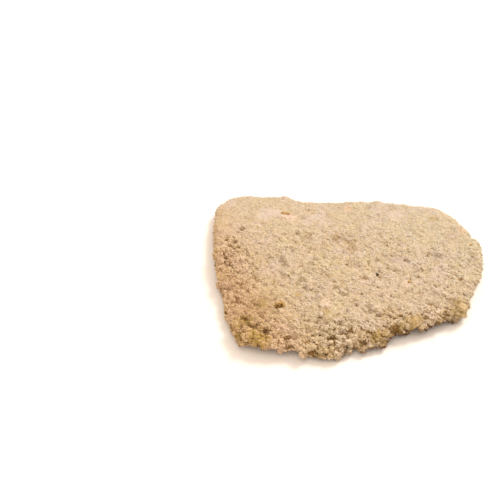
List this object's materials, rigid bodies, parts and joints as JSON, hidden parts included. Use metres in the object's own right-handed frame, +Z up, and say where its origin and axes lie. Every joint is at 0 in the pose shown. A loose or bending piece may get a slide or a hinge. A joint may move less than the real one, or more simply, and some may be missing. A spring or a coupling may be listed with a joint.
{
  "type": "breaded schnitzel",
  "caption": "Raw breaded schnitzel: a broad flat cutlet in a pale crust of fine crumbs, rounded at the tip, craggy along its front rim.",
  "frame": {"origin": "on the floor under the middle of the schnitzel's bounding box", "axes": "+X along the length towards the blunt tip, +Y towards the smooth back edge, +Z up; the craggy rim faces -Y"},
  "size_m": [0.174, 0.149, 0.0141],
  "materials": {
    "crust": "matt, fine breadcrumbs"
  },
  "bodies": {
    "root": {"schnitzel": "crust"}
  },
  "joints": []
}
